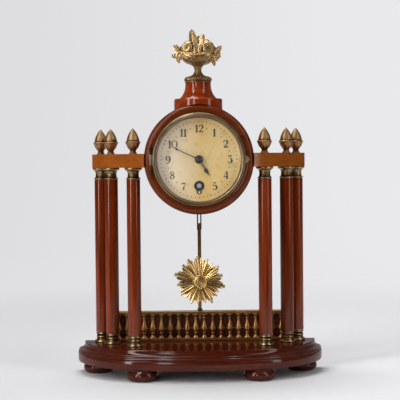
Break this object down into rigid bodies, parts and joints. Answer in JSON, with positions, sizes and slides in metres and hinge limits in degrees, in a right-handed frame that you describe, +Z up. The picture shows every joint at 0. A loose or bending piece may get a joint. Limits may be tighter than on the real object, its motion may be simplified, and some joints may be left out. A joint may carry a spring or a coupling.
{
  "type": "table clock",
  "caption": "Portico mantel clock: turned columns on a moulded bowed base carry a drum case with a hinged bezel, over a swinging sunburst pendulum and a gallery.",
  "frame": {"origin": "middle of the footprint, on the surface that the feet stand on", "axes": "+X to the right as the dial is read, +Y towards the back, +Z up"},
  "size_m": [0.224, 0.084, 0.3099],
  "materials": {
    "mahogany_base": "french polished, gloss",
    "mahogany_foot": "french polished, gloss",
    "mahogany_column": "french polished, gloss",
    "mahogany_beam": "polished, paler",
    "mahogany_case": "french polished, gloss",
    "mahogany_board": "polished, dark",
    "column_brass": "aged, polished on the beads",
    "gilt_bronze": "gilt, dark in the hollows",
    "acorn_bronze": "bronzed gilt",
    "stamped_brass": "stamped, lacquered",
    "bezel_brass": "aged, polished",
    "cover_brass": "satin",
    "movement_brass": "bright",
    "steel": "bright",
    "screw_brass": "bright",
    "rod_brass": "tarnished brown",
    "dial_paint": "aged cream, matt",
    "black_enamel": "black, gloss",
    "glass": "clear"
  },
  "bodies": {
    "case": {"base_slab": "mahogany_base", "base_moulding": "mahogany_base", "front_left_foot": "mahogany_foot", "front_right_foot": "mahogany_foot", "rear_left_foot": "mahogany_foot", "rear_right_foot": "mahogany_foot", "left_inner_column": "mahogany_column", "left_middle_column": "mahogany_column", "left_outer_column": "mahogany_column", "right_inner_column": "mahogany_column", "right_middle_column": "mahogany_column", "right_outer_column": "mahogany_column", "left_beam": "mahogany_beam", "right_beam": "mahogany_beam", "drum_case": "mahogany_case", "front_ring": "mahogany_case", "pedestal": "mahogany_case", "gallery_board": "mahogany_board", "column_bases": "column_brass", "column_capitals": "column_brass", "finial_urn": "gilt_bronze", "flower_basket": "gilt_bronze", "acorn_finials": "acorn_bronze", "gallery_balusters": "stamped_brass", "sight_ring": "bezel_brass", "hinge_leaf": "bezel_brass", "hinge_pin": "bezel_brass", "back_cover": "cover_brass", "front_plate": "movement_brass", "back_plate": "movement_brass", "plate_pillars": "movement_brass", "suspension_cock": "movement_brass", "foot_screws": "steel", "tie_rods": "steel", "movement_screws": "steel", "case_screws": "screw_brass", "dial": "dial_paint", "dial_grommet": "black_enamel"},
    "door": {"bezel": "bezel_brass", "glass": "glass", "glass_ring": "bezel_brass"},
    "centre": {"centre_wheel": "movement_brass", "cannon_pinion": "movement_brass", "minute_hand": "black_enamel", "hand_nut": "black_enamel"},
    "great_wheel": {"barrel": "movement_brass", "mainspring": "steel"},
    "third": {"third_wheel": "movement_brass"},
    "escape": {"escape_wheel": "movement_brass"},
    "minute_idler": {"minute_wheel": "movement_brass"},
    "hour": {"hour_wheel": "movement_brass", "hour_hand": "black_enamel"},
    "winder": {"winding_arbor": "steel", "ratchet_wheel": "steel"},
    "pawl": {"click": "steel"},
    "escapement": {"anchor": "steel"},
    "pendulum": {"suspension_spring": "steel", "pendulum_rod": "rod_brass"},
    "bob": {"pendulum_bob": "stamped_brass"},
    "regulator": {"rating_nut": "black_enamel"}
  },
  "joints": [
    {"name": "bezel_hinge", "type": "hinge", "parent": "case", "child": "door", "pos_m": [-0.0426, -0.01565, 0.1925], "axis": [0, 0, -1], "range_deg": [0, 110]},
    {"name": "hands_turn", "type": "hinge", "parent": "case", "child": "centre", "pos_m": [0, 0, 0.1925], "axis": [0, 1, 0], "continuous": true},
    {"name": "barrel_turn", "type": "hinge", "parent": "case", "child": "great_wheel", "pos_m": [0, 0, 0.1693], "axis": [0, 1, 0], "continuous": true},
    {"name": "third_turn", "type": "hinge", "parent": "case", "child": "third", "pos_m": [-0.01159, 0, 0.20294], "axis": [0, 1, 0], "continuous": true},
    {"name": "escape_turn", "type": "hinge", "parent": "case", "child": "escape", "pos_m": [0, 0, 0.20937], "axis": [0, 1, 0], "continuous": true},
    {"name": "minute_wheel_turn", "type": "hinge", "parent": "case", "child": "minute_idler", "pos_m": [0.0096, 0, 0.1925], "axis": [0, 1, 0], "continuous": true},
    {"name": "hour_turn", "type": "hinge", "parent": "case", "child": "hour", "pos_m": [0, 0, 0.1925], "axis": [0, 1, 0], "continuous": true},
    {"name": "winding_turn", "type": "hinge", "parent": "case", "child": "winder", "pos_m": [0, 0, 0.1693], "axis": [0, 1, 0], "continuous": true},
    {"name": "click_lift", "type": "hinge", "parent": "case", "child": "pawl", "pos_m": [0.0116, -0.0034, 0.1735], "axis": [0, 1, 0], "range_deg": [0, 10], "stiffness_Nm_per_rad": 0.002, "springref_deg": -5.73},
    {"name": "pendulum_swing", "type": "hinge", "parent": "case", "child": "pendulum", "pos_m": [0, 0.0205, 0.223], "axis": [0, 1, 0], "range_deg": [-3.5, 3.5]},
    {"name": "anchor_rock", "type": "hinge", "parent": "case", "child": "escapement", "pos_m": [0, 0, 0.223], "axis": [0, 1, 0], "range_deg": [-3.5, 3.5]},
    {"name": "bob_slide", "type": "slide", "parent": "pendulum", "child": "bob", "axis": [0, 0, 1], "range_m": [-0.00199, 0.00199]},
    {"name": "nut_turn", "type": "hinge", "parent": "bob", "child": "regulator", "pos_m": [0, 0.0205, 0.0567], "axis": [0, 0, 1], "range_deg": [-1440, 1440]}
  ],
  "couplings": [
    {"joint": "hands_turn", "follows": "third_turn", "ratio": -0.083333},
    {"joint": "barrel_turn", "follows": "third_turn", "ratio": 0.020833},
    {"joint": "escape_turn", "follows": "third_turn", "ratio": -12},
    {"joint": "minute_wheel_turn", "follows": "third_turn", "ratio": 0.027778},
    {"joint": "hour_turn", "follows": "third_turn", "ratio": -0.0069444},
    {"joint": "anchor_rock", "follows": "pendulum_swing", "ratio": 1},
    {"joint": "nut_turn", "follows": "bob_slide", "rad_per_m": 12566}
  ]
}
